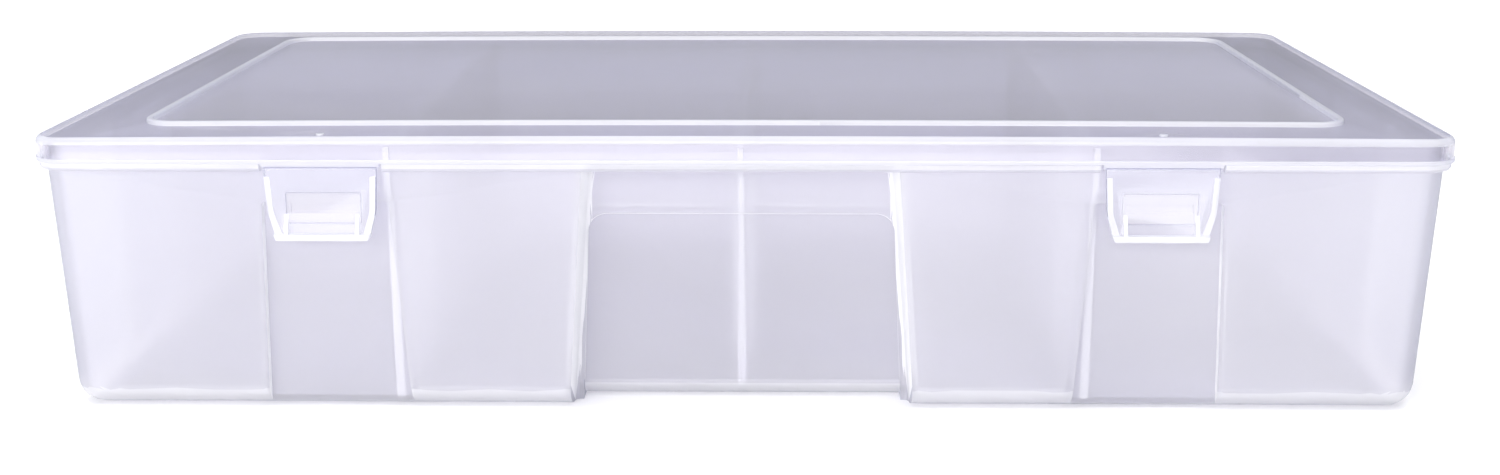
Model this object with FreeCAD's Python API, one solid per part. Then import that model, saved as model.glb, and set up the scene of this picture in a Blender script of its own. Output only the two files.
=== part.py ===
import FreeCAD, Part
import math
import os

# Parts sorting tray: a moulded compartment box with a hinged lid and two front flip latches.
# Millimetres. +X is to the right, +Y to the back, +Z up, and the front faces -Y.
# Shapes are drawn about the middle of the lid, then moved so that the origin is the middle of
# the whole box's footprint, on the surface it stands on.

# ---- lid
LID_LENGTH = 360.0          # over the lip round the foot of the skirt
LID_DEPTH = 192.0
LID_TOP = 73.0              # height of the plate's top face
LID_CORNER = 9.0
LID_WALL = 1.6
LID_EDGE_ROUND = 1.8        # between the plate and the skirt
SKIRT_FOOT = 66.6
LIP_PROUD = 0.25
LIP_HEIGHT = 1.0

# ---- raised bead on the lid
BEAD_INSET_SIDE = 24.6      # from the lid's edge to the bead's centreline
BEAD_INSET_FRONT = 16.5
BEAD_INSET_REAR = 23.0
BEAD_WIDTH = 1.8
BEAD_HEIGHT = 1.2
BEAD_CORNER = 8.0
BEAD_ROUND = 0.5

# ---- moulding nubs: small discs left where the plastic was fed in
NUB_RADIUS = 1.0
NUB_HEIGHT = 0.4
BEAD_NUB_X = 20.0
BEAD_NUB_Y = -37.0

# ---- tray walls
TRAY_LENGTH = 356.4         # outside, at the flange
TRAY_DEPTH = 185.2
TRAY_CORNER = 7.6
TRAY_DRAFT = 2.0            # degrees that every wall leans inwards going down
TRAY_BOTTOM_ROUND = 6.8
WALL = 1.8
FLOOR = 1.8
RIM_TOP = 70.9              # the wall goes on above the flange, inside the skirt
RIM_STEP = 0.8              # how far the wall's outside steps in there

# ---- flange that the skirt comes down to
FLANGE_UNDERSIDE = 64.3
FLANGE_TOP = 66.4
FLANGE_INSET = 0.7          # inside the lid's lip, all round
FLANGE_ROUND = 1.3

# ---- finger recess in the middle of the front wall
GRIP_DEPTH = 8.0
GRIP_HALF_FRONT = (45.0, 40.2)      # half widths at the floor and at the flange
GRIP_HALF_BACK = (44.0, 38.5)
GRIP_CORNER = 1.5
GRIP_BOTTOM_ROUND = 5.4
LEDGE_Z = 51.0              # below this the recess is deeper, which leaves a ledge for the fingertips
LEDGE_DEPTH = 2.0
LEDGE_HALF = (42.0, 39.5)
LEDGE_CORNER = 5.0

# ---- shallow doorway-shaped recess behind each latch
DOOR_TOP = 56.2
DOOR_HALF_OUTER = (18.1, 16.2)      # half widths at the floor and on top, away from the middle
DOOR_HALF_INNER = (19.7, 16.2)      # and towards it
DOOR_DEPTH = 2.5
DOOR_CORNER = 1.4

# ---- partitions and removable dividers
COLUMN_PITCH = 89.6
ROW_PITCH = 48.0
PARTITION_HALF = (1.3, 0.9)         # half thickness at the floor and at the top
PARTITION_TOP = 70.2
RIB_REACH = 2.1             # how far a slot rib stands out of a partition or a side wall
RIB_WIDTH = 1.2
RIB_TOP = 68.6
DIVIDER_THICK = 1.5
DIVIDER_TOP = 69.6
DIVIDER_PLAY = 0.15

# ---- latches
LATCH_X = 105.7
LATCH_HINGE_Z = 64.9
LATCH_OPEN = 100.0          # degrees
LATCH_HALF_TOP = 14.2
LATCH_HALF_SHOULDER = 13.6
LATCH_HALF_FOOT = 11.7
LATCH_SHOULDER_Z = 54.1
LATCH_FOOT_Z = 47.1
LATCH_SHOULDER_ROUND = 9.0
LATCH_RIM = 1.4             # width of the raised rim round the plate
LATCH_RIM_PROUD = 0.5
LATCH_RIM_TOP = 63.3
LATCH_LIP_TOP = 48.6
LATCH_LIP_PROUD = 1.95
LATCH_FILLET_X = 9.0        # small gussets that stiffen the pull lip
LATCH_FILLET_TOP = 53.6
BLOCK_HALF = 9.5            # catch block on the latch's back
BLOCK_Z = (50.8, 58.7)
BLOCK_DEPTH = 1.15
NOSE_Z = (53.8, 55.8)
NOSE_DEPTH = 0.5
HINGE_BEAD_RADIUS = 0.75    # round top edge that the latch turns on
HINGE_BEAD_PLAY = 0.05
TAB_HALF = 14.9
FLANGE_NOTCH_HALF = 15.5

# ---- rear hinge
HINGE_X = 106.5
HINGE_Y = 99.0
HINGE_Z = 65.5
EAR_RADIUS = 2.7
EAR_THICK = 3.0
PIN_RADIUS = 1.2
PIN_BORE_RADIUS = 1.25
KNUCKLE_RADIUS = 2.0
KNUCKLE_HALF = 7.0
KNUCKLE_SIDE_PLAY = 0.15
PIN_REACH = 2.7             # length of each stub pin inside its ear
ARM_TOP = 71.0

# ---- worked out from the above
DRAFT_SLOPE = math.tan(math.radians(TRAY_DRAFT))
SKIRT_Y = LID_DEPTH / 2 - LIP_PROUD
LATCH_HINGE_Y = -(SKIRT_Y - LID_WALL / 2)
FRONT_REACH = LATCH_LIP_PROUD + HINGE_BEAD_RADIUS - LATCH_HINGE_Y - LID_DEPTH / 2
REAR_REACH = HINGE_Y + EAR_RADIUS - LID_DEPTH / 2
TO_ORIGIN = FreeCAD.Vector(0, (FRONT_REACH - REAR_REACH) / 2, 0)
BEYOND = 10.0               # how far a cutting shape passes the surface it cuts

UP = FreeCAD.Vector(0, 0, 1)
ACROSS = FreeCAD.Vector(1, 0, 0)


def rounded_wire(corners):
    """Closed flat wire through (point, radius) corners, each rounded by a tangent arc."""
    runs = []
    count = len(corners)
    for index, (corner, radius) in enumerate(corners):
        before = (corners[index - 1][0] - corner).normalize()
        after = (corners[(index + 1) % count][0] - corner).normalize()
        if radius == 0:
            runs.append((corner, None, corner))
            continue
        half_angle = before.getAngle(after) / 2
        reach = radius / math.tan(half_angle)
        inwards = (before + after).normalize()
        middle = corner + inwards * (radius / math.sin(half_angle) - radius)
        runs.append((corner + before * reach, middle, corner + after * reach))
    edges = []
    for index, (start, middle, end) in enumerate(runs):
        if middle is not None:
            edges.append(Part.Arc(start, middle, end).toShape())
        edges.append(Part.LineSegment(end, runs[(index + 1) % count][0]).toShape())
    return Part.Wire(edges)


def rectangle(half_x, y_front, y_back, radius, z):
    """Rounded rectangle, level, centred on X."""
    return rounded_wire([
        (FreeCAD.Vector(-half_x, y_front, z), radius),
        (FreeCAD.Vector(half_x, y_front, z), radius),
        (FreeCAD.Vector(half_x, y_back, z), radius),
        (FreeCAD.Vector(-half_x, y_back, z), radius),
    ])


def slab(half_x, half_y, radius, z_low, z_high):
    """Upright prism on a rounded rectangle about the Z axis."""
    outline = rectangle(half_x, -half_y, half_y, radius, z_low)
    return Part.Face(outline).extrude(UP * (z_high - z_low))


def box(x_low, x_high, y_low, y_high, z_low, z_high):
    corner = FreeCAD.Vector(x_low, y_low, z_low)
    return Part.makeBox(x_high - x_low, y_high - y_low, z_high - z_low, corner)


def side_prism(points, x_low, x_high):
    """Prism along X on an outline of (y, z) points."""
    corners = [(FreeCAD.Vector(x_low, y, z), 0) for y, z in points]
    return Part.Face(rounded_wire(corners)).extrude(ACROSS * (x_high - x_low))


def front_prism(corners, y_low, y_high):
    """Prism along Y on an outline of (x, z, radius) corners."""
    outline = rounded_wire([(FreeCAD.Vector(x, y_low, z), radius) for x, z, radius in corners])
    return Part.Face(outline).extrude(FreeCAD.Vector(0, y_high - y_low, 0))


def rod(x_low, x_high, y, z, radius):
    """Round bar along X."""
    return Part.makeCylinder(radius, x_high - x_low, FreeCAD.Vector(x_low, y, z), ACROSS)


def level_edges(shape, z):
    """Edges that lie wholly at height z."""
    found = []
    for edge in shape.Edges:
        bounds = edge.BoundBox
        if abs(bounds.ZMin - z) < 1e-6 and abs(bounds.ZMax - z) < 1e-6:
            found.append(edge)
    return found


def fuse_all(shapes):
    return shapes[0].multiFuse(shapes[1:]).removeSplitter()


# ---------------------------------------------------------------- tray

def lean(z):
    """How far the drafted wall has moved inwards at height z, from its place at the flange."""
    return (FLANGE_TOP - z) * DRAFT_SLOPE


def tray_loft(inset, z_low, z_high):
    """The tray's drafted outside between two heights, moved inwards by inset, as a solid."""
    sections = []
    for z in (z_low, z_high):
        half_x = TRAY_LENGTH / 2 - lean(z) - inset
        half_y = TRAY_DEPTH / 2 - lean(z) - inset
        sections.append(rectangle(half_x, -half_y, half_y, TRAY_CORNER - inset, z))
    return Part.makeLoft(sections, True, True)


def tray_volume(inset, bottom_round, z_low, z_high):
    """The same, with a round bottom edge."""
    volume = tray_loft(inset, z_low, z_high)
    return volume.makeFillet(bottom_round, level_edges(volume, z_low))


def foot_half(halves, z_top):
    """Half width of a slanting outline BEYOND below the floor, from its halves at the floor and on top."""
    return halves[1] + (halves[0] - halves[1]) * (z_top + BEYOND) / z_top


def grip_step(grow, halves_front, halves_back, depth, corner, z_low, z_high):
    """One drafted step of the finger recess, grown by grow towards the inside of the tray."""
    sections = []
    for z in (z_low, z_high):
        share = z / FLANGE_UNDERSIDE
        front = halves_front[0] + (halves_front[1] - halves_front[0]) * share + grow
        back = halves_back[0] + (halves_back[1] - halves_back[0]) * share + grow
        wall_y = -(TRAY_DEPTH / 2 - lean(z))
        back_y = wall_y + depth + grow
        taper = (front - back) / (depth + grow)
        mouth_y = wall_y - BEYOND
        mouth = back + taper * (back_y - mouth_y)
        sections.append(rounded_wire([
            (FreeCAD.Vector(-mouth, mouth_y, z), 0),
            (FreeCAD.Vector(mouth, mouth_y, z), 0),
            (FreeCAD.Vector(back, back_y, z), corner + grow),
            (FreeCAD.Vector(-back, back_y, z), corner + grow),
        ]))
    return Part.makeLoft(sections, True, True)


def grip_foot(grow):
    """What the round bottom edge of the finger recess takes away from the tray under it."""
    face_y = -(TRAY_DEPTH / 2 - lean(GRIP_BOTTOM_ROUND)) + GRIP_DEPTH + LEDGE_DEPTH + grow
    half_x = LEDGE_HALF[0] + grow
    kept = box(-half_x - BEYOND, half_x + BEYOND, face_y, face_y + 2 * BEYOND, grow, grow + 2 * BEYOND)
    kept = kept.makeFillet(GRIP_BOTTOM_ROUND - grow, level_edges(kept, grow))
    corner = box(-half_x, half_x, face_y - LEDGE_DEPTH, face_y + GRIP_BOTTOM_ROUND - grow,
                 -BEYOND, GRIP_BOTTOM_ROUND)
    return corner.cut(kept)


def grip_volume(grow, z_top):
    """Finger recess: a full-height step, and a deeper one under the fingertip ledge."""
    upper = grip_step(grow, GRIP_HALF_FRONT, GRIP_HALF_BACK, GRIP_DEPTH, GRIP_CORNER, -BEYOND, z_top)
    wall_y = -(TRAY_DEPTH / 2 - lean(LEDGE_Z))
    back_y = wall_y + GRIP_DEPTH + LEDGE_DEPTH + grow
    foot_x = foot_half(LEDGE_HALF, LEDGE_Z) + grow
    pocket = front_prism([
        (-foot_x, -BEYOND, 0),
        (foot_x, -BEYOND, 0),
        (LEDGE_HALF[1] + grow, LEDGE_Z + grow, LEDGE_CORNER),
        (-LEDGE_HALF[1] - grow, LEDGE_Z + grow, LEDGE_CORNER),
    ], wall_y - BEYOND, back_y)
    pocket.rotate(FreeCAD.Vector(0, back_y, LEDGE_Z), ACROSS, TRAY_DRAFT)
    return upper.fuse(pocket).fuse(grip_foot(grow))


def door_volume(grow, centre_x):
    """Shallow recess behind a latch, as a cutting solid parallel to the leaning front wall."""
    back_y = -(TRAY_DEPTH / 2 - lean(DOOR_TOP)) + DOOR_DEPTH + grow
    right, left = DOOR_HALF_OUTER, DOOR_HALF_INNER
    if centre_x < 0:
        right, left = left, right
    volume = front_prism([
        (centre_x - foot_half(left, DOOR_TOP) - grow, -BEYOND, 0),
        (centre_x + foot_half(right, DOOR_TOP) + grow, -BEYOND, 0),
        (centre_x + right[1] + grow, DOOR_TOP + grow, DOOR_CORNER + grow),
        (centre_x - left[1] - grow, DOOR_TOP + grow, DOOR_CORNER + grow),
    ], back_y - BEYOND, back_y)
    volume.rotate(FreeCAD.Vector(0, back_y, DOOR_TOP), ACROSS, TRAY_DRAFT)
    return volume


def cavity():
    """The space inside the tray's walls, above its floor."""
    space = tray_volume(WALL, TRAY_BOTTOM_ROUND - WALL, FLOOR, RIM_TOP + BEYOND)
    space = space.cut(grip_volume(WALL, FLANGE_TOP))
    for side in (-1, 1):
        space = space.cut(door_volume(WALL, side * LATCH_X))
    return space


def flange():
    """Flat rim round the tray, notched where each latch hangs."""
    half_x = LID_LENGTH / 2 - FLANGE_INSET
    half_y = LID_DEPTH / 2 - FLANGE_INSET
    ring = slab(half_x, half_y, LID_CORNER - FLANGE_INSET, FLANGE_UNDERSIDE, FLANGE_TOP)
    ring = ring.makeFillet(FLANGE_ROUND, level_edges(ring, FLANGE_UNDERSIDE))
    wall_y = TRAY_DEPTH / 2
    for side in (-1, 1):
        ring = ring.cut(box(side * LATCH_X - FLANGE_NOTCH_HALF, side * LATCH_X + FLANGE_NOTCH_HALF,
                            -half_y - BEYOND, -wall_y, FLANGE_UNDERSIDE - 1, FLANGE_TOP + 1))
    return ring


def hinge_ear(x_low):
    """One of the ears that hold the lid's stub pins, with a gusset down the rear wall."""
    tangent = EAR_RADIUS * math.sqrt(0.5)
    heel_y = HINGE_Y + tangent
    heel_z = HINGE_Z - tangent
    root_y = TRAY_DEPTH / 2 - lean(heel_z) - WALL / 2
    top_z = FLANGE_TOP - 0.2
    web = side_prism([
        (root_y, top_z),
        (HINGE_Y, top_z),
        (HINGE_Y, HINGE_Z),
        (heel_y, heel_z),
        (root_y, heel_z - (heel_y - root_y)),
    ], x_low, x_low + EAR_THICK)
    ear = web.fuse(rod(x_low, x_low + EAR_THICK, HINGE_Y, HINGE_Z, EAR_RADIUS))
    return ear.cut(rod(x_low - 1, x_low + EAR_THICK + 1, HINGE_Y, HINGE_Z, PIN_BORE_RADIUS))


def hinge_ears():
    """A pair of ears either side of each of the lid's two knuckles."""
    inner = KNUCKLE_HALF + KNUCKLE_SIDE_PLAY
    ears = []
    for side in (-1, 1):
        ears.append(hinge_ear(side * HINGE_X - inner - EAR_THICK))
        ears.append(hinge_ear(side * HINGE_X + inner))
    return ears


def rib_spans():
    """Front and back of each slot rib: one rib either side of each divider's place."""
    half_slot = DIVIDER_THICK / 2 + DIVIDER_PLAY
    spans = []
    for row in (-1, 0, 1):
        middle = row * ROW_PITCH
        spans.append((middle - half_slot - RIB_WIDTH, middle - half_slot))
        spans.append((middle + half_slot, middle + half_slot + RIB_WIDTH))
    return spans


def wall_rib(side, y_low, y_high):
    """Slot rib on a side wall, drawn through to the wall's outside."""
    root = TRAY_LENGTH / 2
    face = TRAY_LENGTH / 2 - WALL - RIB_REACH
    low = 0
    return front_prism([
        (side * (root - lean(low)), low, 0),
        (side * (face - lean(low)), low, 0),
        (side * (face - lean(RIB_TOP)), RIB_TOP, 0),
        (side * (root - lean(RIB_TOP)), RIB_TOP, 0),
    ], y_low, y_high)


def tray_shell():
    body = tray_volume(0, TRAY_BOTTOM_ROUND, 0, FLANGE_TOP)
    body = body.fuse(tray_loft(RIM_STEP, FLANGE_UNDERSIDE, RIM_TOP))
    body = body.cut(grip_volume(0, FLANGE_UNDERSIDE))
    for side in (-1, 1):
        body = body.cut(door_volume(0, side * LATCH_X))
    body = body.fuse(flange()).cut(cavity())
    root = tray_volume(WALL / 2, TRAY_BOTTOM_ROUND - WALL / 2, FLOOR / 2, RIM_TOP)
    additions = hinge_ears()
    for side in (-1, 1):
        additions += [wall_rib(side, low, high).common(root) for low, high in rib_spans()]
    return fuse_all([body] + additions)


# ---------------------------------------------------------------- partitions and dividers

def wedge(centre_x, halves, y_low, y_high, z_low, z_high):
    """Upright plate that is thicker at the floor, halves being its half thicknesses there and on top."""
    return front_prism([
        (centre_x - halves[0], z_low, 0),
        (centre_x + halves[0], z_low, 0),
        (centre_x + halves[1], z_high, 0),
        (centre_x - halves[1], z_high, 0),
    ], y_low, y_high)


def partition(centre_x, space):
    """Full-depth partition with the slot ribs on both its faces."""
    half_y = TRAY_DEPTH / 2
    pieces = [wedge(centre_x, PARTITION_HALF, -half_y, half_y, FLOOR, PARTITION_TOP)]
    rib_halves = [half + RIB_REACH for half in PARTITION_HALF]
    for low, high in rib_spans():
        pieces.append(wedge(centre_x, rib_halves, low, high, FLOOR, RIB_TOP))
    return fuse_all(pieces).common(space)


def face_x(z):
    """Half thickness of a partition at height z."""
    share = (z - FLOOR) / (PARTITION_TOP - FLOOR)
    return PARTITION_HALF[0] + (PARTITION_HALF[1] - PARTITION_HALF[0]) * share


def divider(column, row):
    """Flat plate that drops into the slots of one column; columns -2, -1, 1 and 2 run left to right."""
    side = 1 if column > 0 else -1
    outer_column = abs(column) == 2
    corners = []
    for z in (FLOOR, DIVIDER_TOP):
        near = (COLUMN_PITCH if outer_column else 0) + face_x(z) + DIVIDER_PLAY
        far = COLUMN_PITCH - face_x(z) - DIVIDER_PLAY
        foot_round = 0
        if outer_column:
            far = TRAY_LENGTH / 2 - lean(z) - WALL - DIVIDER_PLAY
            foot_round = TRAY_BOTTOM_ROUND - WALL if z == FLOOR else 0
        ends = [(side * near, z, 0), (side * far, z, foot_round)]
        corners += ends if z == FLOOR else ends[::-1]
    middle = row * ROW_PITCH
    return front_prism(corners, middle - DIVIDER_THICK / 2, middle + DIVIDER_THICK / 2)


# ---------------------------------------------------------------- lid

def bead():
    """Raised bead that frames the middle of the lid."""
    half = BEAD_WIDTH / 2
    half_x = LID_LENGTH / 2 - BEAD_INSET_SIDE
    front = -LID_DEPTH / 2 + BEAD_INSET_FRONT
    back = LID_DEPTH / 2 - BEAD_INSET_REAR
    low = LID_TOP - LID_WALL / 2
    outlines = []
    for grow in (half, -half):
        outlines.append(rectangle(half_x + grow, front - grow, back + grow, BEAD_CORNER + grow, low))
    rise = UP * (LID_TOP + BEAD_HEIGHT - low)
    ring = Part.Face(outlines[0]).extrude(rise).cut(Part.Face(outlines[1]).extrude(rise))
    return ring.makeFillet(BEAD_ROUND, level_edges(ring, LID_TOP + BEAD_HEIGHT))


def nubs():
    """Moulding nubs: two on the bead and one over each latch."""
    bead_x = LID_LENGTH / 2 - BEAD_INSET_SIDE
    bead_y = -LID_DEPTH / 2 + BEAD_INSET_FRONT
    edge_y = -SKIRT_Y + LID_EDGE_ROUND + NUB_RADIUS
    bead_top = LID_TOP + BEAD_HEIGHT - BEAD_ROUND
    places = [(BEAD_NUB_X, bead_y, bead_top), (bead_x, BEAD_NUB_Y, bead_top)]
    places += [(side * LATCH_X, edge_y, LID_TOP) for side in (-1, 1)]
    found = []
    for x, y, z in places:
        foot = FreeCAD.Vector(x, y, z - LID_WALL / 2)
        found.append(Part.makeCylinder(NUB_RADIUS, LID_WALL / 2 + NUB_HEIGHT, foot))
    return found


def latch_tab(centre_x):
    """The skirt carried down to a latch's hinge line, hollowed to clear the turning latch."""
    half = LID_WALL / 2
    bore = HINGE_BEAD_RADIUS + HINGE_BEAD_PLAY
    tab = box(centre_x - TAB_HALF, centre_x + TAB_HALF, LATCH_HINGE_Y - half, LATCH_HINGE_Y + half,
              LATCH_HINGE_Z, SKIRT_FOOT + LIP_HEIGHT)
    tab = tab.cut(rod(centre_x - TAB_HALF - 1, centre_x + TAB_HALF + 1,
                      LATCH_HINGE_Y, LATCH_HINGE_Z, bore))
    turn = math.radians(LATCH_OPEN)
    along = (-math.sin(turn), -math.cos(turn))
    over = (along[1], -along[0])
    reach = 4 * half
    swept = []
    for along_share, over_share in ((0, bore), (reach, bore), (reach, -bore), (0, -bore)):
        swept.append((LATCH_HINGE_Y + along[0] * along_share + over[0] * over_share,
                      LATCH_HINGE_Z + along[1] * along_share + over[1] * over_share))
    return tab.cut(side_prism(swept, centre_x - TAB_HALF - 1, centre_x + TAB_HALF + 1))


def hinge_knuckle(centre_x):
    """Arm off the rear skirt, ending in a round knuckle with a stub pin at each end."""
    low, high = centre_x - KNUCKLE_HALF, centre_x + KNUCKLE_HALF
    inside = SKIRT_Y - LID_WALL / 2
    arm = side_prism([
        (inside, SKIRT_FOOT + LIP_HEIGHT / 2),
        (inside, ARM_TOP),
        (SKIRT_Y + LID_WALL, ARM_TOP),
        (HINGE_Y + KNUCKLE_RADIUS, HINGE_Z),
        (HINGE_Y, HINGE_Z),
    ], low, high)
    barrel = rod(low, high, HINGE_Y, HINGE_Z, KNUCKLE_RADIUS)
    pins = rod(low - KNUCKLE_SIDE_PLAY - PIN_REACH, high + KNUCKLE_SIDE_PLAY + PIN_REACH,
               HINGE_Y, HINGE_Z, PIN_RADIUS)
    return [arm, barrel, pins]


def lid():
    half_x = LID_LENGTH / 2
    half_y = LID_DEPTH / 2
    body = slab(half_x - LIP_PROUD, half_y - LIP_PROUD, LID_CORNER - LIP_PROUD, SKIRT_FOOT, LID_TOP)
    body = body.makeFillet(LID_EDGE_ROUND, level_edges(body, LID_TOP))
    lip = slab(half_x, half_y, LID_CORNER, SKIRT_FOOT, SKIRT_FOOT + LIP_HEIGHT)
    inside = LIP_PROUD + LID_WALL
    hollow = slab(half_x - inside, half_y - inside, LID_CORNER - inside,
                  SKIRT_FOOT - BEYOND, LID_TOP - LID_WALL)
    body = body.fuse(lip).cut(hollow)
    additions = [bead()] + nubs()
    for side in (-1, 1):
        additions.append(latch_tab(side * LATCH_X))
        additions += hinge_knuckle(side * HINGE_X)
    return fuse_all([body] + additions)


# ---------------------------------------------------------------- latches

def latch_outline(centre_x, inset):
    """Front outline of a latch below its hinge line, drawn inset by inset at the sides and foot."""
    foot = LATCH_FOOT_Z + inset
    right = [
        (LATCH_HALF_FOOT - inset, foot, 0.6),
        (LATCH_HALF_SHOULDER - inset, LATCH_SHOULDER_Z, LATCH_SHOULDER_ROUND),
        (LATCH_HALF_TOP - inset, LATCH_HINGE_Z, 0),
    ]
    left = [(-x, z, radius) for x, z, radius in reversed(right)]
    return [(centre_x + x, z, radius) for x, z, radius in right + left]


def latch(centre_x):
    """Flip latch hanging from its hinge line: plate, rim, pull lip and catch block."""
    front = LATCH_HINGE_Y - HINGE_BEAD_RADIUS
    back = LATCH_HINGE_Y + HINGE_BEAD_RADIUS
    plate = front_prism(latch_outline(centre_x, 0), front, back)
    hinge_bead = rod(centre_x - LATCH_HALF_TOP, centre_x + LATCH_HALF_TOP,
                     LATCH_HINGE_Y, LATCH_HINGE_Z, HINGE_BEAD_RADIUS)
    rim_front = front - LATCH_RIM_PROUD
    rim = front_prism(latch_outline(centre_x, 0), rim_front, front)
    rim = rim.cut(front_prism(latch_outline(centre_x, LATCH_RIM), rim_front, front))
    above = box(centre_x - LATCH_X, centre_x + LATCH_X, rim_front - 1, front + 1,
                LATCH_RIM_TOP, LATCH_HINGE_Z + 1)
    rim = rim.cut(above)
    lip_front = front - LATCH_LIP_PROUD
    lip = front_prism(latch_outline(centre_x, 0), lip_front, front)
    lip = lip.common(box(centre_x - LATCH_X, centre_x + LATCH_X, lip_front, front,
                         LATCH_FOOT_Z, LATCH_LIP_TOP))
    pieces = [plate, hinge_bead, rim, lip]
    for side in (-1, 1):
        x_low = centre_x + side * LATCH_FILLET_X - LATCH_RIM_PROUD
        pieces.append(side_prism([
            (front, LATCH_LIP_TOP),
            (lip_front, LATCH_LIP_TOP),
            (front, LATCH_FILLET_TOP),
        ], x_low, x_low + 2 * LATCH_RIM_PROUD))
    block_back = back + BLOCK_DEPTH
    pieces.append(box(centre_x - BLOCK_HALF, centre_x + BLOCK_HALF, back, block_back, *BLOCK_Z))
    pieces.append(side_prism([
        (block_back, NOSE_Z[0] - NOSE_DEPTH),
        (block_back + NOSE_DEPTH, NOSE_Z[0]),
        (block_back + NOSE_DEPTH, NOSE_Z[1]),
        (block_back, NOSE_Z[1]),
    ], centre_x - BLOCK_HALF + 1, centre_x + BLOCK_HALF - 1))
    return fuse_all(pieces)


# ---------------------------------------------------------------- output

def export(shape, name):
    """Move a piece to the shared origin and write it."""
    placed = shape.copy()
    placed.translate(TO_ORIGIN)
    if len(placed.Solids) == 1:
        placed = placed.Solids[0]
    print(name, "solids", len(placed.Solids), "valid", placed.isValid(), "volume", round(placed.Volume))
    placed.exportStep("parts/" + name + ".step")


def main():
    os.makedirs("parts", exist_ok=True)
    space = cavity()
    export(tray_shell(), "tray_shell")
    for name, column in (("left", -1), ("centre", 0), ("right", 1)):
        export(partition(column * COLUMN_PITCH, space), "partition_" + name)
    for column_name, column in (("far_left", -2), ("left", -1), ("right", 1), ("far_right", 2)):
        for row_name, row in (("front", -1), ("middle", 0), ("rear", 1)):
            export(divider(column, row), "divider_" + column_name + "_" + row_name)
    export(lid(), "lid")
    export(latch(-LATCH_X), "latch_left")
    export(latch(LATCH_X), "latch_right")


main()
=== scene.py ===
import math

import bmesh
import bpy
from mathutils import Matrix, Vector


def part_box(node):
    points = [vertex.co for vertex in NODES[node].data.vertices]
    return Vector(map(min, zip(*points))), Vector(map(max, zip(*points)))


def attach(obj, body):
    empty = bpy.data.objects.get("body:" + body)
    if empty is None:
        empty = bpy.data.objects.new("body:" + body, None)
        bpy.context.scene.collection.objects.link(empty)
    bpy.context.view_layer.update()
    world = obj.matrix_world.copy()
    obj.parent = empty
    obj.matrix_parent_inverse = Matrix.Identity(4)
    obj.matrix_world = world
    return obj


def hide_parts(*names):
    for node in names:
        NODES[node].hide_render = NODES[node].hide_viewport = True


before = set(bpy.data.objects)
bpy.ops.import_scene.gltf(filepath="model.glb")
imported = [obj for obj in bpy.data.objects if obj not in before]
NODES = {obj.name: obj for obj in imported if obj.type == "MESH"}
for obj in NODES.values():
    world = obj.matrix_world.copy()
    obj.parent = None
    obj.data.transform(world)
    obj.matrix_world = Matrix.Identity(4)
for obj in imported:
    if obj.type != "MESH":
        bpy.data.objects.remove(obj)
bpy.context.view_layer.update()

MM = 0.001
PARTITIONS = ["partition_left", "partition_centre", "partition_right"]
LATCHES = ["latch_left", "latch_right"]
DIVIDERS = sorted(name for name in NODES if name.startswith("divider_"))
TRAY_LOW, TRAY_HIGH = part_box("tray_shell")
LID_LOW, LID_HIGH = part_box("lid")

# ---- camera: eye point in the row frame, and the way it looks
EYE = Vector((0.0112, -0.5512, 0.1634))
LOOK_LEFT = math.radians(1.10)
LOOK_DOWN = math.radians(14.30)
ROLL = math.radians(-0.14)
LENS = 44.5                         # millimetres, on a sensor 36 mm wide
SENSOR = 36.0

# ---- shape detail
EDGE_BEVEL = 0.32 * MM              # softening of the moulded edges, where there is room for it
LATCH_BEVEL = 0.22 * MM
BEVEL_ANGLE = math.radians(32)
SHARP_ANGLE = math.radians(31)      # edges sharper than this are shaded as edges
LEDGE_ROUND = 0.55 * MM             # of the front edge of the fingertip ledge
CROWN = 0.67 * MM                   # how much higher the lid's plate is in the middle of its length
CROWN_CUTS = 24
SEAT_GAP = 0.06 * MM                # between pieces that are one moulding, so that no two faces coincide
ROOT = 1.5 * MM                     # how far a partition's ends go into the tray's walls
ROOT_ZONE = 12 * MM                 # the part of each end that moves with it
ROOT_BLEND = 4 * MM                 # and the length over which that begins
WELD = 0.002 * MM
FLAT_ANGLE = math.radians(0.3)      # faces that differ by less are one flat face
LID_SPRING = 2 * MM                 # height over which the crown of the lid grows from nothing

# ---- heights and spans that tell the parts of the mouldings apart
LID_PLATE_TOP = 73.0 * MM
BEAD_CLEAR = 0.12 * MM              # the bead's faces are this much above the plate
SKIRT_TOP = 71.1 * MM               # the round between skirt and plate begins here
LIP_TOP = 67.7 * MM                 # of the lip round the foot of the skirt
FLANGE_LOW = 64.1 * MM
FLANGE_HIGH = 66.5 * MM
FLANGE_REACH = 2.6 * MM             # how far the flange stands out of the wall in front
FLANGE_REACH_SIDE = 1.0 * MM
RECESS_REACH = 17.0 * MM            # from the flange's front edge to behind the finger recess
RECESS_SPAN = 127.0 * MM            # half the length that holds all three recesses
RIB_OUT = 168.0 * MM                # the slot ribs on the side walls are further out than this
RIB_SPAN = 60.0 * MM
TRAY_FOOT = 6.9 * MM                # top of the round bottom edge
GRIP_SPAN = 47.0 * MM               # half the finger recess
GRIP_NEAR = -91.0 * MM              # its back wall is behind this
LEDGE = 52.9 * MM                   # the wall is clearer below the fingertip ledge
BLOCK_FACE = -95.6 * MM
LATCH_FACE = -97.8 * MM
ARCH_SPAN = 38.9 * MM               # half the part of the ledge's arch that is rounded
ARCH_LOW = 45.0 * MM
LID_BORDER = 160.0 * MM             # only the lid's faces outside the bead reach further out than this

# ---- how much of a face's normal lies along one axis, from 0 to 1
LEVEL = 0.98
SQUARE = 0.95
FACING = 0.99
ACROSS = 0.8
MOSTLY = 0.7
SIDEWAYS = 0.6
TILTED = 0.3
ROUND_TILT = 0.05                   # squared; the walls lean by less, the round under them by more

# ---- places of the skins in each piece's list of materials; the first is for its faces
EDGE = 1
FLANGE, CHEEK, UNDER_FLANGE, FOOT, RECESS, BASE = 2, 3, 4, 5, 6, 7
BEAD, SKIRT, SHOULDER, BORDER = 2, 3, 4, 5
BLOCK = 2
END = 2

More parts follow.
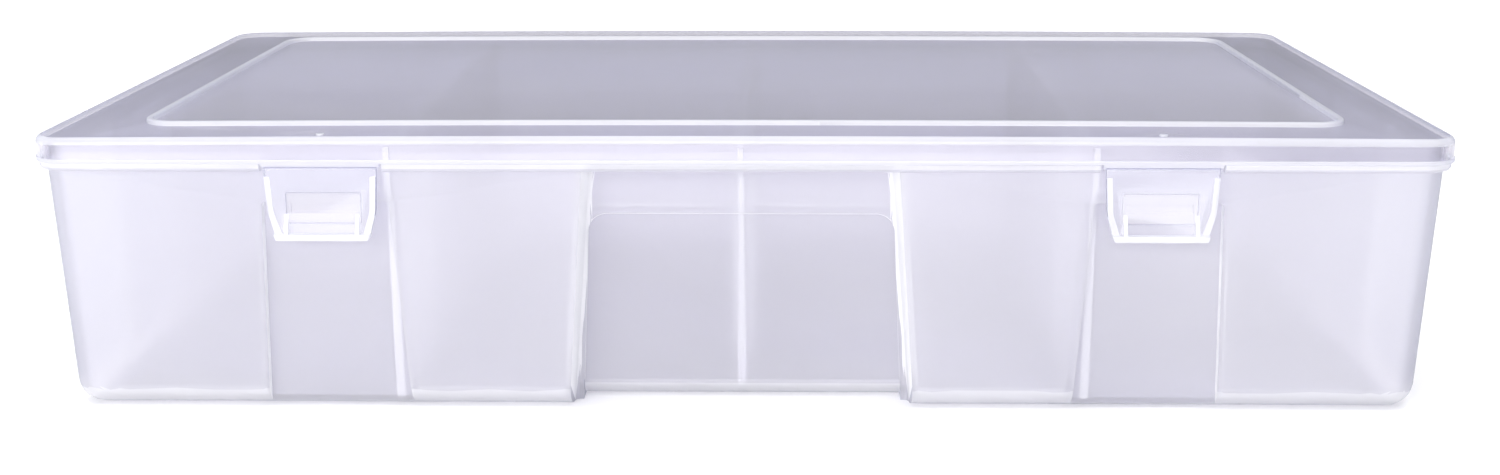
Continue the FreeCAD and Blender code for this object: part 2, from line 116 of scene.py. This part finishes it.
# ---- colours of the plastic: what it scatters, and what it lets through; the tints of the tray's floor and of the flange's underside are painted shade
MILK = (0.96, 0.952, 0.985)
# the whiter milk is partly painted light: on the edges, cheeks, partition ends and round foot it brightens
# faces in place of light
BRIGHT_MILK = (0.985, 0.985, 0.99)
BLOCK_MILK = (0.86, 0.84, 0.83)
TINT = (0.978, 0.974, 0.990)
LID_TINT = (0.955, 0.948, 0.973)
BORDER_TINT = (0.76, 0.755, 0.79)
SKIRT_TINT = (0.925, 0.92, 0.94)
# painted shade: the tray's floor lets less through, so the inside seen through the lid looks shaded
BASE_SHADE_TINT = (0.955, 0.950, 0.965)
DIVIDER_TINT = (0.935, 0.930, 0.955)
LID_EDGE_TINT = (0.82, 0.81, 0.87)
# painted shade: what the flange's underside lets through, darker in place of the shadow under the flange
SHADE_TINT = (0.86, 0.84, 0.89)
EDGE_TINT = (0.30, 0.34, 0.58)      # what is let through where a skin is seen edge on

# ---- how the plastic behaves
GRAIN_SCALE = 700
CLOUD_SCALE = 30
CLOUD_STRETCH = (1, 1, 2.5)
GRAIN_SHARE = 0.4                   # of the haze that the clouds make, how much the fine grain adds
MILK_POWER = 2.5                    # how late a skin turns milky on the way to edge on
TINT_POWER = 1.5                    # and how late its colour deepens
MIRROR_POWER = 5.0                  # and how late it becomes a mirror
ROUGH_LEAST = 0.75                  # the gloss is rougher under the clouds: both are shares of rough
ROUGH_MORE = 0.5
BUMP_PLAIN = 0.03
BUMP_FROST = 0.3                    # how much stronger the grain's bump is for each unit of frost
BUMP_DEPTH = 0.0003                 # metres
BLUR_ROUGHNESS = 0.55
BLUR_BEND = 1.15                    # refractive index of the softened share
MIRROR_FRONT = 0.04                 # share reflected square on
MIRROR_EDGE = 0.5                   # and how much more is reflected edge on
PAPER_DARK = (0.925, 0.925, 0.93)
PAPER_LIGHT = (0.945, 0.945, 0.95)
FIBRE_SCALE = 60
FLOOR_HALF = 30.0                   # metres
SKY_STOPS = ((0.0, 0.42), (0.30, 0.42), (0.62, 0.75), (1.0, 1.0))   # height, and how bright it is there
SKY_BLUE = 1.03
SKY_STRENGTH = 0.8
CLEAR_SKINS = 64                    # how many clear skins a ray may pass
NEAREST = 0.01                      # metres from the camera, nothing nearer is drawn


# ------------------------------------------------------------------ node helpers

class Graph:
    """Short names for making a node tree."""

    def __init__(self, tree):
        self.tree = tree
        tree.nodes.clear()

    def add(self, kind, **settings):
        node = self.tree.nodes.new(kind)
        for key, value in settings.items():
            setattr(node, key, value)
        return node

    def set(self, socket, value):
        if isinstance(value, bpy.types.NodeSocket):
            self.tree.links.new(value, socket)
        elif value is not None:
            socket.default_value = value

    def math(self, operation, a, b=None, c=None, clamp=False):
        node = self.add("ShaderNodeMath", operation=operation, use_clamp=clamp)
        for socket, value in zip(node.inputs, (a, b, c)):
            self.set(socket, value)
        return node.outputs[0]

    def stretched(self, scale):
        place = self.add("ShaderNodeTexCoord").outputs["Object"]
        node = self.add("ShaderNodeMapping")
        self.set(node.inputs["Vector"], place)
        self.set(node.inputs["Scale"], scale)
        return node.outputs[0]

    def noise(self, scale, stretch=(1, 1, 1), detail=3.0, rough=0.55):
        node = self.add("ShaderNodeTexNoise")
        self.set(node.inputs["Vector"], self.stretched(stretch))
        self.set(node.inputs["Scale"], scale)
        self.set(node.inputs["Detail"], detail)
        self.set(node.inputs["Roughness"], rough)
        return node.outputs["Fac"]

    def blend(self, factor, a, b):
        node = self.add("ShaderNodeMix", data_type="RGBA")
        self.set(node.inputs["Factor"], factor)
        self.set(node.inputs["A"], (*a, 1) if isinstance(a, tuple) else a)
        self.set(node.inputs["B"], (*b, 1) if isinstance(b, tuple) else b)
        return node.outputs["Result"]

    def mix(self, factor, a, b):
        node = self.add("ShaderNodeMixShader")
        self.set(node.inputs[0], factor)
        self.set(node.inputs[1], a)
        self.set(node.inputs[2], b)
        return node.outputs[0]


def new_material(name):
    material = bpy.data.materials.new(name)
    material.use_nodes = True
    return material, Graph(material.node_tree)


# ------------------------------------------------------------------ materials

def polypropylene(name, body, haze=0.03, deep=0.30, gloss=0.9, rough=0.16, frost=0.0, blur=0.0,
                  back_share=0.45, milk=MILK, tint=TINT, edge_tint=EDGE_TINT):
    """Thin milky plastic. body is how much of the light one skin scatters when seen square on, deep is how
    much more it scatters edge on, haze varies it from place to place, frost adds a fine etched grain, and
    blur is the share of the light let through that is softened."""
    material, g = new_material(name)
    facing = g.add("ShaderNodeLayerWeight")
    facing.inputs["Blend"].default_value = 0.5
    edge_on = facing.outputs["Facing"]
    clouds = g.noise(CLOUD_SCALE, stretch=CLOUD_STRETCH, detail=2)
    grain = g.noise(GRAIN_SCALE, detail=2)
    varied = g.math("MULTIPLY", g.math("SUBTRACT", clouds, 0.5), haze)
    varied = g.math("MULTIPLY_ADD", g.math("SUBTRACT", grain, 0.5), haze * GRAIN_SHARE + frost, varied)
    at_edge = g.math("MULTIPLY_ADD", g.math("POWER", edge_on, MILK_POWER), deep, body)
    solid = g.math("ADD", varied, at_edge, clamp=True)

    bump = g.add("ShaderNodeBump")
    g.set(bump.inputs["Height"], grain)
    g.set(bump.inputs["Strength"], BUMP_PLAIN + BUMP_FROST * frost)
    g.set(bump.inputs["Distance"], BUMP_DEPTH)
    normal = bump.outputs[0]
    uneven = g.math("MULTIPLY_ADD", clouds, rough * ROUGH_MORE, rough * ROUGH_LEAST)

    front = g.add("ShaderNodeBsdfDiffuse")
    g.set(front.inputs["Color"], (*milk, 1))
    through = g.add("ShaderNodeBsdfTranslucent")
    g.set(through.inputs["Color"], (*milk, 1))
    milky = g.mix(back_share, front.outputs[0], through.outputs[0])

    clear = g.add("ShaderNodeBsdfTransparent")
    path = g.math("POWER", edge_on, TINT_POWER)
    g.set(clear.inputs[0], g.blend(path, tint, edge_tint))
    passed = clear.outputs[0]
    if blur:
        soft = g.add("ShaderNodeBsdfRefraction")
        g.set(soft.inputs["Color"], (*tint, 1))
        g.set(soft.inputs["Roughness"], BLUR_ROUGHNESS)
        g.set(soft.inputs["IOR"], BLUR_BEND)
        passed = g.mix(blur, passed, soft.outputs[0])
    skin = g.mix(solid, passed, milky)

    shine = g.add("ShaderNodeBsdfGlossy")
    g.set(shine.inputs["Roughness"], uneven)
    g.set(shine.inputs["Normal"], normal)
    grazing = g.math("POWER", edge_on, MIRROR_POWER)
    mirror = g.math("MULTIPLY_ADD", grazing, MIRROR_EDGE * gloss, MIRROR_FRONT * gloss)
    out = g.add("ShaderNodeOutputMaterial")
    g.set(out.inputs["Surface"], g.mix(mirror, skin, shine.outputs[0]))
    return material


def floor_material():
    material, g = new_material("floor_paper")
    paint = g.add("ShaderNodeBsdfPrincipled")
    fibres = g.noise(FIBRE_SCALE, detail=5)
    g.set(paint.inputs["Base Color"], g.blend(fibres, PAPER_DARK, PAPER_LIGHT))
    g.set(paint.inputs["Roughness"], 1.0)
    g.set(paint.inputs["Specular IOR Level"], 0.0)
    out = g.add("ShaderNodeOutputMaterial")
    g.set(out.inputs["Surface"], paint.outputs[0])
    return material


# ------------------------------------------------------------------ meshes

def copied_mesh(node, name):
    """The CAD node's mesh with its split corners welded and its flat faces cleaned up."""
    mesh = NODES[node].data.copy()
    mesh.name = name
    mesh.materials.clear()
    work = bmesh.new()
    work.from_mesh(mesh)
    bmesh.ops.remove_doubles(work, verts=work.verts, dist=WELD)
    bmesh.ops.dissolve_limit(work, angle_limit=FLAT_ANGLE, verts=work.verts, edges=work.edges)
    work.to_mesh(mesh)
    work.free()
    return mesh


def new_object(name, mesh):
    thing = bpy.data.objects.new(name, mesh)
    bpy.context.scene.collection.objects.link(thing)
    return thing


def settle(thing):
    """Turn an object's modifiers into its mesh."""
    graph = bpy.context.evaluated_depsgraph_get()
    mesh = bpy.data.meshes.new_from_object(thing.evaluated_get(graph))
    thing.modifiers.clear()
    old = thing.data
    thing.data = mesh
    bpy.data.meshes.remove(old)


def eased_ledge(mesh):
    """Round the front edge of the top of the arch over the fingertips; the round takes the cheek skin,
    partly painted light.
    """
    work = bmesh.new()
    work.from_mesh(mesh)
    chosen = []
    for edge in work.edges:
        middle = (edge.verts[0].co + edge.verts[1].co) / 2
        in_arch = abs(middle.x) < ARCH_SPAN and GRIP_NEAR < middle.y < TRAY_LOW.y + RECESS_REACH
        if in_arch and ARCH_LOW < middle.z < LEDGE and len(edge.link_faces) == 2 and edge.is_convex:
            turns = sorted(face.normal.y for face in edge.link_faces)
            if turns[0] < -FACING and abs(turns[1]) < SIDEWAYS:
                chosen.append(edge)
    bmesh.ops.bevel(work, geom=chosen, offset=LEDGE_ROUND, segments=3, profile=0.5, affect="EDGES",
                    clamp_overlap=False, material=CHEEK)
    work.to_mesh(mesh)
    work.free()
    return mesh


def finish_piece(thing, skins, bevel, body, node, place=None):
    """Soften a piece's edges, give it its skins, and say what it stands for. place gives the number of the
    skin that a face takes from its centre and normal, or None to leave it as it is."""
    for skin in skins:
        thing.data.materials.append(skin)
    soften = thing.modifiers.new("soften", "BEVEL")
    soften.width = bevel
    soften.segments = 2
    soften.limit_method = "ANGLE"
    soften.angle_limit = BEVEL_ANGLE
    soften.use_clamp_overlap = True
    # the bevel's faces take the edge skin, partly painted light
    soften.material = EDGE
    settle(thing)
    if place:
        for face in thing.data.polygons:
            index = place(face.center, face.normal)
            if index is not None:
                face.material_index = index
    thing.data.shade_smooth()
    thing.data.set_sharp_from_angle(angle=SHARP_ANGLE)
    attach(thing, body)
    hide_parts(node)


def tray_place(centre, normal):
    """Which skin a face of the tray takes, apart from its plain walls and soft edges."""
    outside = abs(centre.x) > TRAY_HIGH.x - FLANGE_REACH_SIDE or centre.y < TRAY_LOW.y + FLANGE_REACH
    if FLANGE_LOW < centre.z < FLANGE_HIGH and outside:
        # the flange's underside takes a darker skin: painted shade under the flange
        return UNDER_FLANGE if normal.z < -TILTED else FLANGE
    # the recesses' side faces and the slot ribs take the cheek skin, partly painted light
    squareness = SQUARE if abs(centre.x) < GRIP_SPAN else SIDEWAYS
    if abs(normal.y) < squareness and abs(centre.x) < RECESS_SPAN and centre.y < TRAY_LOW.y + RECESS_REACH:
        if TRAY_FOOT < centre.z < FLANGE_LOW:
            return CHEEK
    if abs(normal.y) > ACROSS and abs(centre.x) > RIB_OUT and abs(centre.y) < RIB_SPAN:
        return CHEEK
    # the tray's floor takes a clearer, darker-tinted skin: painted shade inside the tray
    if centre.z < TRAY_FOOT and abs(normal.z) > LEVEL:
        return BASE
    # the round bottom edge takes a whiter, milkier skin: painted light where it faces the floor
    if centre.z < TRAY_FOOT and normal.z * normal.z > ROUND_TILT:
        return FOOT
    # the back of the finger recess takes a less milky, darker skin: painted shade in the recess
    in_recess = abs(centre.x) < GRIP_SPAN and GRIP_NEAR < centre.y < TRAY_LOW.y + RECESS_REACH
    return RECESS if in_recess and centre.z < LEDGE and abs(normal.y) > SQUARE else None


def latch_place(centre, normal):
    """The edge skin on the rim and pull lip, a milkier one on the catch block behind the plate."""
    if centre.y < LATCH_FACE:
        return EDGE
    return BLOCK if centre.y > BLOCK_FACE and normal.y > MOSTLY else None


def plate_place(centre, normal):
    """The bright skin on a partition's ends, ribs and top: milky edges, made brighter still as painted light
    in place of light piped out at them.
    """
    return END if abs(normal.y) > MOSTLY or normal.z > MOSTLY else None


def lid_place(centre, normal):
    """Which skin a face of the lid takes: lip and bead, skirt, or the round between skirt and plate."""
    rise = crown_at(centre.x)
    if centre.z > LID_PLATE_TOP + rise + BEAD_CLEAR or centre.z < LIP_TOP:
        return BEAD
    if centre.z < SKIRT_TOP:
        return SKIRT
    return SHOULDER if normal.z < SQUARE and centre.z > SKIRT_TOP + rise else None


def rooted(mesh):
    """Shrink a partition by SEAT_GAP all over, then carry its two ends into the tray's walls."""
    work = bmesh.new()
    work.from_mesh(mesh)
    work.normal_update()
    moved = [(vertex, vertex.co - vertex.normal * SEAT_GAP * vertex.calc_shell_factor())
             for vertex in work.verts]
    for vertex, place in moved:
        vertex.co = place
    front = min(vertex.co.y for vertex in work.verts)
    back = max(vertex.co.y for vertex in work.verts)
    for vertex in work.verts:
        to_front = min(max((front + ROOT_ZONE - vertex.co.y) / ROOT_BLEND, 0), 1)
        to_back = min(max((vertex.co.y - back + ROOT_ZONE) / ROOT_BLEND, 0), 1)
        vertex.co.y += ROOT * (to_back - to_front)
    work.to_mesh(mesh)
    work.free()
    return mesh


def crown_at(x):
    return CROWN * (1 - (x / LID_HIGH.x) ** 2)


def crowned_lid():
    """The lid, its plate a little higher in the middle of its length."""
    mesh = copied_mesh("lid", "lid_moulding")
    work = bmesh.new()
    work.from_mesh(mesh)
    for face in work.faces:
        on_top = face.normal.z > SQUARE and face.verts[0].co.z > SKIRT_TOP
        if on_top and any(abs(vertex.co.x) > LID_BORDER for vertex in face.verts):
            face.material_index = BORDER
    for step in range(1, CROWN_CUTS):
        x = LID_LOW.x + (LID_HIGH.x - LID_LOW.x) * step / CROWN_CUTS
        geometry = work.verts[:] + work.edges[:] + work.faces[:]
        bmesh.ops.bisect_plane(work, geom=geometry, plane_co=(x, 0, 0), plane_no=(1, 0, 0), dist=1e-7)
    for vertex in work.verts:
        lift = min(max((vertex.co.z - TRAY_HIGH.z) / LID_SPRING + 0.5, 0), 1)
        lift = lift * lift * (3 - 2 * lift)
        vertex.co.z += lift * crown_at(vertex.co.x)
    work.to_mesh(mesh)
    work.free()
    return new_object("lid_moulding", mesh)


# ------------------------------------------------------------------ pieces

wall_plastic = polypropylene("tray_polypropylene", body=0.36, deep=0.0, blur=0.5)
# painted shade: the back of the finger recess scatters less than the walls, so it looks darker
recess_shade_plastic = polypropylene("tray_recess_shade_polypropylene", body=0.30, deep=0.0, blur=0.5)
# painted light: the round bottom edge scatters more and whiter than the walls, so it stays light where it
# faces down
foot_brightened_plastic = polypropylene("tray_foot_brightened_polypropylene", body=0.55, deep=0.10, blur=0.5, milk=BRIGHT_MILK,
                             edge_tint=LID_EDGE_TINT)
# painted shade: a clearer, darker-tinted skin on the tray's floor, so the inside seen through the lid looks
# shaded
base_shade_plastic = polypropylene("tray_base_shade_polypropylene", body=0.12, blur=0.5, tint=BASE_SHADE_TINT)
partition_plastic = polypropylene("partition_polypropylene", body=0.70, deep=0.10, gloss=0.6,
                                  edge_tint=LID_EDGE_TINT)
divider_plastic = polypropylene("divider_polypropylene", body=0.02, haze=0.02, deep=0.08, gloss=0.5,
                                tint=DIVIDER_TINT, edge_tint=LID_EDGE_TINT)
lid_plastic = polypropylene("lid_polypropylene", body=0.08, deep=0.08, frost=0.10, rough=0.22,
                            tint=LID_TINT, edge_tint=LID_EDGE_TINT)
border_plastic = polypropylene("lid_border_polypropylene", body=0.03, deep=0.08, rough=0.20,
                               tint=BORDER_TINT, edge_tint=LID_EDGE_TINT)
latch_plastic = polypropylene("latch_polypropylene", body=0.18, deep=0.35, milk=BRIGHT_MILK)
block_plastic = polypropylene("latch_block_polypropylene", body=0.55, milk=BLOCK_MILK)
# partly painted light: the softened edges show the milky thickness of the walls, and this skin makes them
# brighter still, in place of light piped out along them
edge_plastic = polypropylene("edge_polypropylene", body=0.60, haze=0.08, deep=0.30, milk=BRIGHT_MILK)
# partly painted light: a partition's ends, ribs and top are milky edges, and this skin makes them brighter
# still, in place of light piped out at them
end_glow_plastic = polypropylene("partition_end_glow_polypropylene", body=0.85, deep=0.10, gloss=0.5, milk=BRIGHT_MILK)
flange_plastic = polypropylene("flange_polypropylene", body=0.62, deep=0.10, milk=BRIGHT_MILK,
                               edge_tint=LID_EDGE_TINT)
# painted shade: the darker skin of the flange's underside
under_flange_shade_plastic = polypropylene("under_flange_shade_polypropylene", body=0.50, tint=SHADE_TINT, edge_tint=SHADE_TINT)
skirt_plastic = polypropylene("skirt_polypropylene", body=0.06, deep=1.0, tint=SKIRT_TINT,
                              edge_tint=LID_EDGE_TINT)
bead_plastic = polypropylene("bead_polypropylene", body=0.48, deep=0.10, milk=BRIGHT_MILK)
# partly painted light: the recesses' side faces, the slot ribs and the ledge's round are milky edges, and
# this skin makes them brighter still, in place of light piped out along them
cheek_glow_plastic = polypropylene("cheek_glow_polypropylene", body=0.95, haze=0.08, deep=0.10, milk=BRIGHT_MILK)
divider_edge_plastic = polypropylene("divider_edge_polypropylene", body=0.12, haze=0.05, deep=0.15)

tray = new_object("tray_moulding", eased_ledge(copied_mesh("tray_shell", "tray_moulding")))
finish_piece(tray, [wall_plastic, edge_plastic, flange_plastic, cheek_glow_plastic, under_flange_shade_plastic, foot_brightened_plastic,
                    recess_shade_plastic, base_shade_plastic],
             EDGE_BEVEL, "tray", "tray_shell", tray_place)
for node in PARTITIONS:
    wall = new_object(node + "_wall", rooted(copied_mesh(node, node + "_wall")))
    finish_piece(wall, [partition_plastic, edge_plastic, end_glow_plastic],
                 EDGE_BEVEL, "tray", node, plate_place)
for node in DIVIDERS:
    plate = new_object(node + "_plate", copied_mesh(node, node + "_plate"))
    finish_piece(plate, [divider_plastic, divider_edge_plastic], EDGE_BEVEL, "tray", node)
lid_skins = [lid_plastic, edge_plastic, bead_plastic, skirt_plastic, bead_plastic, border_plastic]
finish_piece(crowned_lid(), lid_skins, EDGE_BEVEL, "lid", "lid", lid_place)
for node in LATCHES:
    flap = new_object(node + "_flap", copied_mesh(node, node + "_flap"))
    finish_piece(flap, [latch_plastic, edge_plastic, block_plastic],
                 LATCH_BEVEL, node, node, latch_place)


# ------------------------------------------------------------------ stage, light and camera

def make_floor():
    corners = [(x * FLOOR_HALF, y * FLOOR_HALF, 0) for x, y in ((-1, -1), (1, -1), (1, 1), (-1, 1))]
    mesh = bpy.data.meshes.new("floor")
    mesh.from_pydata(corners, [], [(0, 1, 2, 3)])
    mesh.materials.append(floor_material())
    new_object("floor", mesh)


def soft_box(name, place, aim, width, height, power):
    """A rectangular area light at place, in metres and watts, that faces aim."""
    light = bpy.data.lights.new(name, "AREA")
    light.shape = "RECTANGLE"
    light.size = width
    light.size_y = height
    light.energy = power
    thing = new_object(name, light)
    thing.location = place
    thing.rotation_euler = (Vector(aim) - Vector(place)).to_track_quat("-Z", "Y").to_euler()


def make_world():
    world = bpy.data.worlds.new("studio")
    world.use_nodes = True
    g = Graph(world.node_tree)
    parts = g.add("ShaderNodeSeparateXYZ")
    g.set(parts.inputs[0], g.add("ShaderNodeTexCoord").outputs["Generated"])
    ramp = g.add("ShaderNodeValToRGB")
    stops = ramp.color_ramp.elements
    for position, _ in SKY_STOPS[1:-1]:
        stops.new(position)
    for stop, (position, shade) in zip(stops, SKY_STOPS):
        stop.position = position
        stop.color = (shade, shade, shade * SKY_BLUE, 1)
    g.set(ramp.inputs[0], parts.outputs["Z"])
    sky = g.add("ShaderNodeBackground")
    g.set(sky.inputs["Color"], ramp.outputs[0])
    g.set(sky.inputs["Strength"], SKY_STRENGTH)
    out = g.add("ShaderNodeOutputWorld")
    g.set(out.inputs["Surface"], sky.outputs[0])
    bpy.context.scene.world = world


def make_camera():
    data = bpy.data.cameras.new("camera")
    data.lens = LENS
    data.sensor_width = SENSOR
    data.clip_start = NEAREST
    camera = new_object("camera", data)
    ahead = Vector((-math.sin(LOOK_LEFT) * math.cos(LOOK_DOWN),
                    math.cos(LOOK_LEFT) * math.cos(LOOK_DOWN), -math.sin(LOOK_DOWN)))
    right = Vector((math.cos(LOOK_LEFT), math.sin(LOOK_LEFT), 0))
    up = right.cross(ahead)
    tilted_right = right * math.cos(ROLL) + up * math.sin(ROLL)
    tilted_up = up * math.cos(ROLL) - right * math.sin(ROLL)
    turn = Matrix((tilted_right, tilted_up, -ahead)).transposed().to_4x4()
    camera.matrix_world = Matrix.Translation(EYE) @ turn
    bpy.context.scene.camera = camera


make_floor()
make_world()
soft_box("overhead", place=(0, 0.1, 1.5), aim=(0, 0, 0), width=2.6, height=2.2, power=26)
soft_box("front", place=(-0.6, -1.9, 0.6), aim=(0, 0, 0.04), width=2.6, height=1.0, power=42)
make_camera()

scene = bpy.context.scene
scene.view_settings.view_transform = "Standard"
scene.cycles.transparent_max_bounces = CLEAR_SKINS
